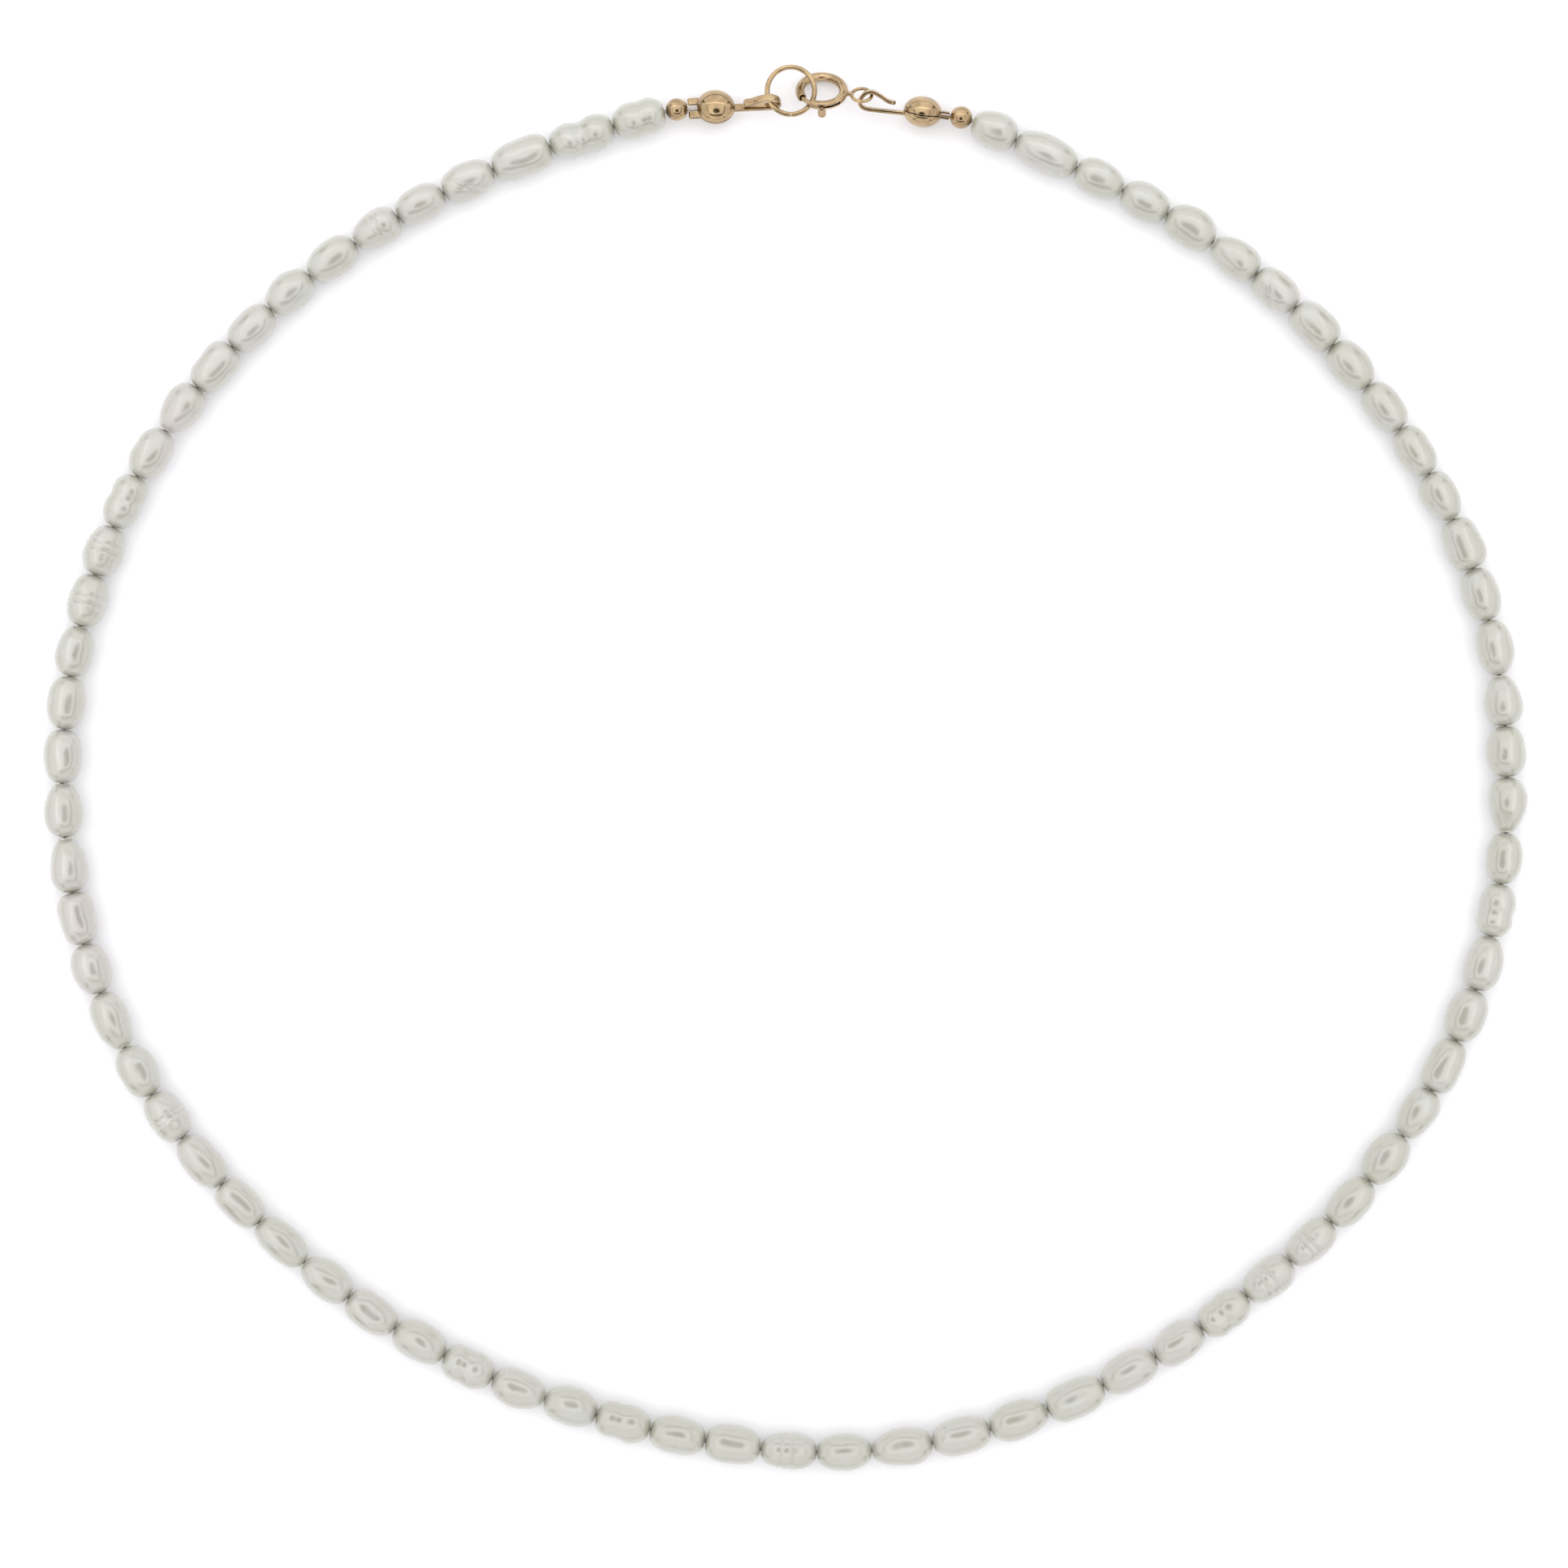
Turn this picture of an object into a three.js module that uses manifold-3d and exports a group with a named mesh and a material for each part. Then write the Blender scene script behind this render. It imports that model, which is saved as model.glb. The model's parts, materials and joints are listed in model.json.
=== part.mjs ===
// A pearl necklace: one strand of drilled oval pearls on a thread, closed by a spring ring clasp.
// Millimetres, +Z up. The necklace lies on z = 0 in a hand-laid oval with its clasp towards +Y,
// and the origin is under the middle of the oval.
import * as THREE from 'three';
import { mergeVertices } from 'three/addons/utils/BufferGeometryUtils.js';
import Module from 'manifold-3d';

const wasm = await Module();
wasm.setup();

// Pearls. The letters give the stringing order, from the left end of the clasp round to the right.
const PEARL_DIAMETER = 3.5;
const PEARL_LENGTHS = { S: 4.73, M: 4.98, L: 5.2, X: 5.57 };
const STRINGING =
  'XXXLSSLSMMMMLSMSMMMLMSXMMXMXLLLMLMLLLLLXXXXXMLLLLLMLMLMSLSSLMMSMMMMSMMSSXM';
const PEARL_BORE_GAP = 0.2;
const PEARL_END_RIM = 0.2;
const PEARL_WAIST_RIM = 0.35;
const PEARL_FULLNESS = 0.6;
const PEARL_SIDES = 8;
const PEARL_RINGS = 4;
const PAIR_GAP = 0.12;

// Thread
const THREAD_DIAMETER = 0.4;
const THREAD_TAIL = 0.9;
const THREAD_SIDES = 8;
const THREAD_STEPS = 80;

// Gold end beads
const BEAD_DIAMETER = 2.1;
const BEAD_BORE_GAP = 0.12;
const BEAD_RIM = 0.25;
const BEAD_GAP = 0.2;
const BEAD_SIDES = 12;
const BEAD_RINGS = 6;

// Bead tips: two cups folded together over a crimp, with a flat strap bent into a hook
const CUP_LENGTH = 3.6;
const CUP_WIDTH = 3.3;
const CUP_DEPTH = 1.45;
const CUP_WALL = 0.25;
const CUP_SIDES = 16;
const CUP_RINGS = 10;
const SEAM_GAP = 0.1;
const LEAF_LENGTH = 0.55;
const LEAF_WIDTH = 0.6;
const LEAF_SPREAD = 1.4;
const THREAD_HOLE_GAP = 0.2;
const STRAP_WIDTH = 0.72;
const STRAP_THICKNESS = 0.38;
const STRAP_ROOT = 0.175;
const STRAP_DROP = 0.36;
const HOOK_LENGTH = 4.3;
const HOOK_RISE = 1.16;
const HOOK_DIP = 0.45;
const HOOK_TURN = 0.5;
const HOOK_STEPS = 20;
// The hook's curl: how far back from its end each point lies, and its share of the rise
const HOOK_CURL = [[0, 0.1], [0.35, 0.75], [1, 1], [1.8, 0.78], [2.6, 0.45], [3.3, 0.4]];
const CRIMP_BORE_GAP = 0.08;
const CRIMP_WALL = 0.37;
const CRIMP_CHAMFER = 0.125;
const CRIMP_LENGTH = 1.2;
const CRIMP_SQUASH = 0.8;
const CRIMP_SIDES = 10;

// Jump ring
const JUMP_DIAMETER = 4.86;
const JUMP_WIRE = 0.48;
const JUMP_SEAM = 0.05;
const WIRE_SIDES = 8;
const RING_STEPS = 32;

// Spring ring clasp. Its angles are in degrees round the ring, from the eye's side.
const CLASP_DIAMETER = 4.9;
const BOLT_WIRE = 0.4;
const BOLT_GAP = 0.08;
const CLASP_WALL = 0.14;
const MOUTH_FROM = 208;
const MOUTH_TO = 243;
const BOLT_OVERLAP = 6;
const SOCKET_DEPTH = 14;
const CUT_OVERRUN = 5;
const BORE_STEPS = 16;
const SOCKET_STEPS = 4;
const BOLT_STEPS = 8;
const TRIGGER_ANGLE = 270;
const TRIGGER_TRAVEL = 40;
const BOLT_TAIL = 16;
const STEM_THICKNESS = 0.25;
const STEM_SPREAD = 4;
const SLOT_GAP = 0.055;
const SLOT_END = 1;
const LUG_LENGTH = 1.05;
const LUG_WIDTH = 0.75;
const LUG_HOLE = 0.3;
const SPRING_SPAN = 70;
const SPRING_SEAT = 3;
const SPRING_TURNS = 9;
const SPRING_WIRE = 0.09;
const SPRING_GAP = 0.065;
const SPRING_SIDES = 5;
const EYE_ROOM = 0.333;
const EYE_WIRE = 0.36;
const EYE_NECK = 0.2;
const EYE_ANGLE = -9;
const EYE_STEPS = 24;
const SOLDER_GAP = 0.03;

// How the linked pieces lie in each other. The clasp leans until its middle is this far above the
// strand's axis, and each bead tip slopes and turns to meet what its hook holds.
const CLASP_RISE = 0.08;
const JUMP_RISE = 0.19;
const HOOK_SLACK = 0.65;
const LINK_SLACK = 0.7;
const SLOPE_RUN = 1.2;
const LEFT_HOOK = { heading: 6, roll: -23, drop: 0.75, rise: -0.27 };
const RIGHT_HOOK = { heading: 168, roll: 28, drop: 0.1, rise: -0.0685 };

// How the strand was laid: places of the spring ring and of the strand, from the oval's middle
const CLASP_PLACE = [3.5, 62.7];
const LAY = [
  [-15.6, 59.6], [-22.1, 57.4], [-29.2, 54.4], [-37.7, 49.9], [-45.8, 44.1], [-52.7, 37.2], [-58.6, 29.3],
  [-62.9, 20.4], [-65.7, 11], [-66.8, 1.2], [-66.4, -8.6], [-64.2, -18.4], [-60.2, -27.6],
  [-54.2, -36.1], [-46.7, -43.8], [-38, -50.6], [-29, -55.6], [-19.4, -59.3], [-9.4, -61.9],
  [0.8, -63.3], [11.2, -62.9], [21.8, -60.4], [32, -55.9], [40.8, -50.4], [48.9, -43.8],
  [55.9, -36.1], [61.3, -27.3], [64.9, -17.9], [66.7, -8.2], [66.9, 1.8], [65.8, 11.5],
  [62.9, 21], [58.4, 29.5], [52.5, 37.3], [45.6, 44.3], [37.8, 50], [30, 54.2], [22.4, 57.6],
];
const ROUTE_DIVISIONS = 2000;
const FITTING_ROUNDS = 12;
const MERGE_DISTANCE = 1e-5;

const pearl = new THREE.MeshStandardMaterial({ color: 0xe8e4dc, roughness: 0.3, metalness: 0 });
const gold = new THREE.MeshStandardMaterial({ color: 0xd2a558, roughness: 0.15, metalness: 1 });
const steel = new THREE.MeshStandardMaterial({ color: 0x9a9690, roughness: 0.35, metalness: 1 });
const silk = new THREE.MeshStandardMaterial({ color: 0xe6dfd0, roughness: 0.8, metalness: 0 });

const UP = new THREE.Vector3(0, 0, 1);
const AXIS_HEIGHT = PEARL_DIAMETER / 2;
const PEARL_BORE = THREAD_DIAMETER + 2 * PEARL_BORE_GAP;
const BEAD_BORE = THREAD_DIAMETER + 2 * BEAD_BORE_GAP;
const CRIMP_BORE = THREAD_DIAMETER + 2 * CRIMP_BORE_GAP;
const CRIMP_DIAMETER = CRIMP_BORE + 2 * CRIMP_WALL;
const THREAD_HOLE = THREAD_DIAMETER + 2 * THREAD_HOLE_GAP;
const HOOK_REACH = CUP_LENGTH / 2 + HOOK_LENGTH;
const CLASP_BORE = BOLT_WIRE + 2 * BOLT_GAP;
const CLASP_TUBE = CLASP_BORE + 2 * CLASP_WALL;
const SLOT_WIDTH = STEM_THICKNESS + 2 * SLOT_GAP;
const SPRING_COIL = CLASP_BORE - 2 * SPRING_GAP - SPRING_WIRE;
const CLASP_RADIUS = (CLASP_DIAMETER - CLASP_TUBE) / 2;
const CLASP_HEIGHT = AXIS_HEIGHT + CLASP_RISE;
const CLASP_TILT = Math.asin((CLASP_HEIGHT - CLASP_TUBE / 2) / CLASP_RADIUS);
const JUMP_RADIUS = (JUMP_DIAMETER - JUMP_WIRE) / 2;
const EYE_RADIUS = Math.hypot(STRAP_WIDTH, STRAP_THICKNESS) / 2 + EYE_ROOM + EYE_WIRE / 2;
const LEAF_END = CUP_LENGTH / 2 + LEAF_LENGTH;
const BEAD_PLACE = LEAF_END + BEAD_GAP + BEAD_DIAMETER / 2;
const STRAND_START = BEAD_PLACE + BEAD_DIAMETER / 2 + PAIR_GAP / 2;
const radians = THREE.MathUtils.degToRad;
const degrees = THREE.MathUtils.radToDeg;

// Booleans

function solidOf(geometry) {
  const bare = geometry.clone();
  bare.deleteAttribute('normal');
  bare.deleteAttribute('uv');
  const merged = mergeVertices(bare, MERGE_DISTANCE);
  return new wasm.Manifold(new wasm.Mesh({
    numProp: 3,
    vertProperties: new Float32Array(merged.attributes.position.array),
    triVerts: new Uint32Array(merged.index.array),
  }));
}

function geometryOf(solid) {
  const mesh = solid.getMesh();
  const geometry = new THREE.BufferGeometry();
  geometry.setAttribute('position', new THREE.BufferAttribute(mesh.vertProperties, 3));
  geometry.setIndex(new THREE.BufferAttribute(mesh.triVerts, 1));
  geometry.computeVertexNormals();
  return geometry;
}

function joined(...geometries) {
  return geometryOf(geometries.map(solidOf).reduce((whole, piece) => whole.add(piece)));
}

function cut(geometry, ...cutters) {
  return geometryOf(cutters.map(solidOf).reduce((left, cutter) => left.subtract(cutter), solidOf(geometry)));
}

function common(geometry, other) {
  return geometryOf(solidOf(geometry).intersect(solidOf(other)));
}

// Shapes that several pieces share

class ArcPath extends THREE.Curve {
  constructor(radius, fromDegrees, toDegrees) {
    super();
    this.radius = radius;
    this.from = radians(fromDegrees);
    this.to = radians(toDegrees);
  }

  getPoint(t, target = new THREE.Vector3()) {
    const angle = THREE.MathUtils.lerp(this.from, this.to, t);
    return target.set(this.radius * Math.cos(angle), this.radius * Math.sin(angle), 0);
  }
}

class CoilPath extends ArcPath {
  getPoint(t, target = new THREE.Vector3()) {
    const angle = THREE.MathUtils.lerp(this.from, this.to, t);
    const turn = 2 * Math.PI * SPRING_TURNS * t;
    const out = this.radius + (SPRING_COIL / 2) * Math.cos(turn);
    return target.set(out * Math.cos(angle), out * Math.sin(angle), (SPRING_COIL / 2) * Math.sin(turn));
  }
}

function roundSection(diameter, sides) {
  const corners = [];
  for (let side = 0; side < sides; side += 1) {
    const angle = (2 * Math.PI * side) / sides;
    corners.push(new THREE.Vector2(Math.cos(angle), Math.sin(angle)).multiplyScalar(diameter / 2));
  }
  return new THREE.Shape(corners);
}

function rod(path, diameter, sides, steps) {
  return new THREE.ExtrudeGeometry(roundSection(diameter, sides), { steps, extrudePath: path });
}

function plate(shape, thickness) {
  const geometry = new THREE.ExtrudeGeometry(shape, { depth: thickness, bevelEnabled: false });
  return geometry.translate(0, 0, -thickness / 2);
}

function box(from, to) {
  const size = to.map((value, axis) => value - from[axis]);
  const middle = to.map((value, axis) => (value + from[axis]) / 2);
  return new THREE.BoxGeometry(...size).translate(...middle);
}

// A turned piece with a hole along its axis, the Y axis: outline points run from end to end.
function drilledLathe(outline, bore, sides) {
  const first = outline[0];
  const last = outline[outline.length - 1];
  const points = [
    new THREE.Vector2(bore / 2, first.y),
    ...outline,
    new THREE.Vector2(bore / 2, last.y),
    new THREE.Vector2(bore / 2, (first.y + last.y) / 2),
    new THREE.Vector2(bore / 2, first.y),
  ];
  return new THREE.LatheGeometry(points, sides, Math.PI / sides);
}

// An oval outline from `from` to `from + length`; its flats stand `diameter` apart.
function ovalRings(from, length, diameter, rings, fullness, sides) {
  const widest = diameter / 2 / Math.cos(Math.PI / sides);
  const middle = Math.sin((Math.PI * Math.floor((rings + 1) / 2)) / (rings + 1));
  const points = [];
  for (let ring = 1; ring <= rings; ring += 1) {
    const angle = (Math.PI * ring) / (rings + 1);
    const radius = widest * (Math.sin(angle) / middle) ** fullness;
    points.push(new THREE.Vector2(radius, from + (length / 2) * (1 - Math.cos(angle))));
  }
  return points;
}

// Strand

function tipAxes({ heading, lift, roll }) {
  const along = new THREE.Vector3(1, 0, 0);
  along.applyAxisAngle(new THREE.Vector3(0, -1, 0), radians(lift));
  along.applyAxisAngle(UP, radians(heading));
  const across = new THREE.Vector3().crossVectors(UP, along).normalize();
  const cover = new THREE.Vector3().crossVectors(along, across);
  cover.applyAxisAngle(along, radians(roll));
  return { along, across: new THREE.Vector3().crossVectors(cover, along), cover };
}

// A bead tip slopes from the middle of its first pearl's end to the height of its hook.
function hookedTip(hookEnd, { heading, roll }) {
  const slope = (hookEnd.z - AXIS_HEIGHT) / (HOOK_REACH + STRAND_START + SLOPE_RUN);
  const axes = tipAxes({ heading, lift: degrees(Math.asin(slope)), roll });
  return { ...axes, place: hookEnd.clone().addScaledVector(axes.along, -HOOK_REACH) };
}

function hardwarePlaces(scale) {
  const clasp = new THREE.Vector3(CLASP_PLACE[0] * scale, CLASP_PLACE[1] * scale, CLASP_HEIGHT);
  const link = JUMP_RADIUS + CLASP_RADIUS - JUMP_WIRE / 2 - CLASP_TUBE / 2 - LINK_SLACK;
  const jump = new THREE.Vector3(clasp.x - link, clasp.y, clasp.z + JUMP_RISE);
  const eyeReach = CLASP_RADIUS + CLASP_TUBE / 2 + EYE_NECK + EYE_WIRE / 2 + EYE_RADIUS;
  const eye = new THREE.Vector3(eyeReach, 0, 0).applyAxisAngle(UP, radians(EYE_ANGLE));
  eye.applyAxisAngle(new THREE.Vector3(1, 0, 0), -CLASP_TILT).add(clasp);
  const grip = HOOK_SLACK + STRAP_THICKNESS;
  const leftEnd = new THREE.Vector3(-JUMP_RADIUS + JUMP_WIRE / 2 + grip, -LEFT_HOOK.drop, LEFT_HOOK.rise);
  const rightEnd = new THREE.Vector3(EYE_RADIUS - EYE_WIRE / 2 - grip, -RIGHT_HOOK.drop, RIGHT_HOOK.rise);
  const rightRoll = RIGHT_HOOK.roll + degrees(CLASP_TILT);
  const leftTip = hookedTip(leftEnd.add(jump), LEFT_HOOK);
  const rightTip = hookedTip(rightEnd.add(eye), { ...RIGHT_HOOK, roll: rightRoll });
  return { clasp, jump, eyeReach, leftTip, rightTip };
}

// The thread runs straight out of each bead tip and through its bead.
function tipRun({ place, along }) {
  return [THREAD_TAIL, -STRAND_START].map((station) => place.clone().addScaledVector(along, station));
}

function strandRoute(scale) {
  const { leftTip, rightTip } = hardwarePlaces(scale);
  const laid = LAY.map(([x, y]) => new THREE.Vector3(x * scale, y * scale, AXIS_HEIGHT));
  const points = [...tipRun(leftTip), ...laid, ...tipRun(rightTip).reverse()];
  const route = new THREE.CatmullRomCurve3(points);
  route.arcLengthDivisions = ROUTE_DIVISIONS;
  return route;
}

// The oval is scaled until its route is as long as the pearls, beads and tips strung on it.
function fittedScale() {
  const pearls = [...STRINGING].reduce((total, letter) => total + PEARL_LENGTHS[letter], 0);
  const wanted = pearls + 2 * (THREAD_TAIL + STRAND_START);
  let scale = 1;
  for (let round = 0; round < FITTING_ROUNDS; round += 1) {
    scale *= wanted / strandRoute(scale).getLength();
  }
  return scale;
}

const scale = fittedScale();
const strand = strandRoute(scale);
const places = hardwarePlaces(scale);
const strandLength = strand.getLength();

// Bends a straight piece, whose axis is Y, onto the strand from a distance along it.
function alongStrand(geometry, start) {
  const corners = geometry.attributes.position;
  const corner = new THREE.Vector3();
  for (let index = 0; index < corners.count; index += 1) {
    corner.fromBufferAttribute(corners, index);
    const share = (start + corner.y) / strandLength;
    const along = strand.getTangentAt(share);
    const across = new THREE.Vector3().crossVectors(along, UP).normalize();
    const above = new THREE.Vector3().crossVectors(across, along);
    const place = strand.getPointAt(share).addScaledVector(across, corner.x).addScaledVector(above, corner.z);
    corners.setXYZ(index, place.x, place.y, place.z);
  }
  geometry.computeVertexNormals();
  return geometry;
}

function named(name, geometry, material) {
  const mesh = new THREE.Mesh(geometry, material);
  mesh.name = name;
  return mesh;
}

// Two neighbouring pearls, touching end to end, with the drilled hole through both
function pearlPair(first, second) {
  const from = PAIR_GAP / 2;
  const to = first + second - PAIR_GAP / 2;
  const shape = [PEARL_DIAMETER, PEARL_RINGS, PEARL_FULLNESS, PEARL_SIDES];
  const outline = [
    new THREE.Vector2(PEARL_BORE / 2 + PEARL_END_RIM, from),
    ...ovalRings(from, first - from, ...shape),
    new THREE.Vector2(PEARL_BORE / 2 + PEARL_WAIST_RIM, first),
    ...ovalRings(first, to - first, ...shape),
    new THREE.Vector2(PEARL_BORE / 2 + PEARL_END_RIM, to),
  ];
  return drilledLathe(outline, PEARL_BORE, PEARL_SIDES);
}

function pearlPairs() {
  const pairs = new THREE.Group();
  let start = THREAD_TAIL + STRAND_START;
  for (let index = 0; index < STRINGING.length; index += 2) {
    const first = PEARL_LENGTHS[STRINGING[index]];
    const second = PEARL_LENGTHS[STRINGING[index + 1]];
    const number = String(index / 2 + 1).padStart(2, '0');
    pairs.add(named(`pearls_${number}`, alongStrand(pearlPair(first, second), start), pearl));
    start += first + second;
  }
  return pairs;
}

function thread() {
  return named('thread', rod(strand, THREAD_DIAMETER, THREAD_SIDES, THREAD_STEPS), silk);
}

function endBead(name, middle) {
  const from = -BEAD_DIAMETER / 2;
  const outline = [
    new THREE.Vector2(BEAD_BORE / 2 + BEAD_RIM, from),
    ...ovalRings(from, BEAD_DIAMETER, BEAD_DIAMETER, BEAD_RINGS, 1, BEAD_SIDES),
    new THREE.Vector2(BEAD_BORE / 2 + BEAD_RIM, -from),
  ];
  return named(name, alongStrand(drilledLathe(outline, BEAD_BORE, BEAD_SIDES), middle), gold);
}

// Bead tips. In a tip's own axes X runs to the clasp and Z to the cover; the seam is at z = 0.

function ellipsoid(shrink) {
  const half = [CUP_LENGTH / 2 - shrink, CUP_WIDTH / 2 - shrink, CUP_DEPTH - shrink];
  return new THREE.SphereGeometry(1, CUP_SIDES, CUP_RINGS).scale(...half);
}

function cup() {
  const shell = cut(ellipsoid(0), ellipsoid(CUP_WALL));
  const half = common(shell, box([-CUP_LENGTH, -CUP_WIDTH, SEAM_GAP / 2], [CUP_LENGTH, CUP_WIDTH, CUP_DEPTH * 2]));
  const leaves = [-1, 1].map((side) => {
    const inner = side * (LEAF_SPREAD / 2 - LEAF_WIDTH / 2);
    const outer = side * (LEAF_SPREAD / 2 + LEAF_WIDTH / 2);
    const low = [-LEAF_END, Math.min(inner, outer), SEAM_GAP / 2];
    return box(low, [-CUP_LENGTH / 2 + 2 * CUP_WALL, Math.max(inner, outer), SEAM_GAP / 2 + CUP_WALL]);
  });
  const hole = new THREE.CylinderGeometry(THREAD_HOLE / 2, THREAD_HOLE / 2, CUP_LENGTH, WIRE_SIDES);
  hole.rotateZ(Math.PI / 2).translate(-CUP_LENGTH / 2, 0, 0);
  return cut(joined(half, ...leaves), hole);
}

function hookStrap() {
  const end = HOOK_REACH - STRAP_THICKNESS / 2;
  const line = new THREE.SplineCurve([
    new THREE.Vector2(CUP_LENGTH / 2 - STRAP_ROOT, -STRAP_DROP),
    new THREE.Vector2((CUP_LENGTH / 2 + end - HOOK_TURN) / 2, -HOOK_DIP),
    new THREE.Vector2(end - HOOK_TURN, -HOOK_DIP),
    ...HOOK_CURL.map(([back, share]) => new THREE.Vector2(end - back, share * HOOK_RISE)),
  ]);
  const outer = [];
  const inner = [];
  for (let step = 0; step <= HOOK_STEPS; step += 1) {
    const point = line.getPointAt(step / HOOK_STEPS);
    const along = line.getTangentAt(step / HOOK_STEPS);
    const side = new THREE.Vector2(-along.y, along.x).multiplyScalar(STRAP_THICKNESS / 2);
    outer.push(point.clone().add(side));
    inner.unshift(point.clone().sub(side));
  }
  return plate(new THREE.Shape([...outer, ...inner]), STRAP_WIDTH).rotateX(Math.PI / 2);
}

function crimp() {
  const rim = CRIMP_DIAMETER / 2;
  const outline = [
    new THREE.Vector2(rim - CRIMP_CHAMFER, -CRIMP_LENGTH / 2),
    new THREE.Vector2(rim, -CRIMP_LENGTH / 4),
    new THREE.Vector2(rim, CRIMP_LENGTH / 4),
    new THREE.Vector2(rim - CRIMP_CHAMFER, CRIMP_LENGTH / 2),
  ];
  const tube = drilledLathe(outline, CRIMP_BORE, CRIMP_SIDES).rotateZ(-Math.PI / 2);
  return tube.scale(1, 1, CRIMP_SQUASH);
}

function beadTip(side, { place, along, across, cover }) {
  const group = new THREE.Group();
  const base = joined(cup().rotateX(Math.PI), hookStrap());
  group.add(named(`tip_base_${side}`, base, gold));
  group.add(named(`tip_cover_${side}`, cup(), gold));
  group.add(named(`crimp_${side}`, crimp(), steel));
  group.setRotationFromMatrix(new THREE.Matrix4().makeBasis(along, across, cover));
  group.position.copy(place);
  return group;
}

// Clasp

function jumpRing() {
  const seam = degrees(JUMP_SEAM / JUMP_RADIUS);
  const path = new ArcPath(JUMP_RADIUS, -90 + seam / 2, 270 - seam / 2);
  const ring = named('jump_ring', rod(path, JUMP_WIRE, WIRE_SIDES, RING_STEPS), gold);
  ring.position.copy(places.jump);
  return ring;
}

function sector(inner, outer, fromDegrees, toDegrees, thickness) {
  const shape = new THREE.Shape();
  shape.absarc(0, 0, outer, radians(fromDegrees), radians(toDegrees), false);
  shape.absarc(0, 0, inner, radians(toDegrees), radians(fromDegrees), true);
  return plate(shape, thickness);
}

function claspTube() {
  const end = MOUTH_FROM + 360;
  const tube = rod(new ArcPath(CLASP_RADIUS, MOUTH_TO, end), CLASP_TUBE, WIRE_SIDES, RING_STEPS);
  const springEnd = TRIGGER_ANGLE + BOLT_TAIL + SPRING_SPAN;
  const borePath = new ArcPath(CLASP_RADIUS, MOUTH_TO - CUT_OVERRUN, springEnd + CUT_OVERRUN);
  const bore = rod(borePath, CLASP_BORE, WIRE_SIDES, BORE_STEPS);
  const socketPath = new ArcPath(CLASP_RADIUS, end - SOCKET_DEPTH, end + CUT_OVERRUN);
  const socket = rod(socketPath, CLASP_BORE, WIRE_SIDES, SOCKET_STEPS);
  const slotFrom = TRIGGER_ANGLE - STEM_SPREAD - SLOT_END;
  const slotTo = TRIGGER_ANGLE + TRIGGER_TRAVEL + STEM_SPREAD + SLOT_END;
  const slot = sector(CLASP_RADIUS, CLASP_DIAMETER, slotFrom, slotTo, SLOT_WIDTH);
  return named('clasp_tube', cut(tube, bore, socket, slot), gold);
}

function claspBolt() {
  const path = new ArcPath(CLASP_RADIUS, MOUTH_FROM - BOLT_OVERLAP, TRIGGER_ANGLE + BOLT_TAIL);
  const bolt = rod(path, BOLT_WIRE, WIRE_SIDES, BOLT_STEPS);
  const lugFrom = CLASP_DIAMETER / 2 + SLOT_WIDTH / 2;
  const stemEnd = lugFrom + LUG_LENGTH / 3;
  const angles = [TRIGGER_ANGLE - STEM_SPREAD, TRIGGER_ANGLE + STEM_SPREAD];
  const stem = sector(CLASP_RADIUS, stemEnd, ...angles, STEM_THICKNESS);
  const outline = new THREE.Shape();
  const round = LUG_WIDTH / 2;
  outline.moveTo(lugFrom, -round);
  outline.lineTo(lugFrom + LUG_LENGTH - round, -round);
  outline.absarc(lugFrom + LUG_LENGTH - round, 0, round, -Math.PI / 2, Math.PI / 2, false);
  outline.lineTo(lugFrom, round);
  const hole = new THREE.Path();
  hole.absarc(lugFrom + LUG_LENGTH - round, 0, LUG_HOLE / 2, 0, 2 * Math.PI, true);
  outline.holes.push(hole);
  const lug = plate(outline, STEM_THICKNESS).rotateZ(radians(TRIGGER_ANGLE));
  return named('clasp_bolt', joined(bolt, stem, lug), gold);
}

function claspSpring() {
  const from = TRIGGER_ANGLE + BOLT_TAIL;
  const path = new CoilPath(CLASP_RADIUS, from + SPRING_SEAT, from + SPRING_SPAN);
  const steps = SPRING_TURNS * WIRE_SIDES;
  return named('clasp_spring', rod(path, SPRING_WIRE, SPRING_SIDES, steps), steel);
}

function claspEye() {
  const ring = new THREE.TorusGeometry(EYE_RADIUS, EYE_WIRE / 2, WIRE_SIDES, EYE_STEPS);
  ring.translate(places.eyeReach, 0, 0);
  const from = CLASP_DIAMETER / 2 + SOLDER_GAP;
  const to = places.eyeReach - EYE_RADIUS;
  const neck = new THREE.CylinderGeometry(EYE_WIRE / 2, EYE_WIRE / 2, to - from, WIRE_SIDES);
  neck.rotateZ(Math.PI / 2).translate((from + to) / 2, 0, 0);
  return named('clasp_eye', joined(ring, neck).rotateZ(radians(EYE_ANGLE)), gold);
}

function clasp() {
  const group = new THREE.Group();
  group.add(claspTube(), claspBolt(), claspSpring(), claspEye());
  group.rotation.x = -CLASP_TILT;
  group.position.copy(places.clasp);
  return group;
}

const necklace = new THREE.Group();
necklace.add(pearlPairs(), thread());
necklace.add(endBead('end_bead_left', THREAD_TAIL + BEAD_PLACE));
necklace.add(endBead('end_bead_right', strandLength - THREAD_TAIL - BEAD_PLACE));
necklace.add(beadTip('left', places.leftTip));
necklace.add(beadTip('right', places.rightTip));
necklace.add(jumpRing(), clasp());

// The origin goes under the middle of the whole necklace.
necklace.updateMatrixWorld(true);
const whole = new THREE.Box3().setFromObject(necklace, true);
const middle = whole.getCenter(new THREE.Vector3());
necklace.position.set(-middle.x, -middle.y, -whole.min.z);

export default necklace;
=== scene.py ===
"""A single strand of freshwater pearls with gold fittings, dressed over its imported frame."""

import json
import math
import random

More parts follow.
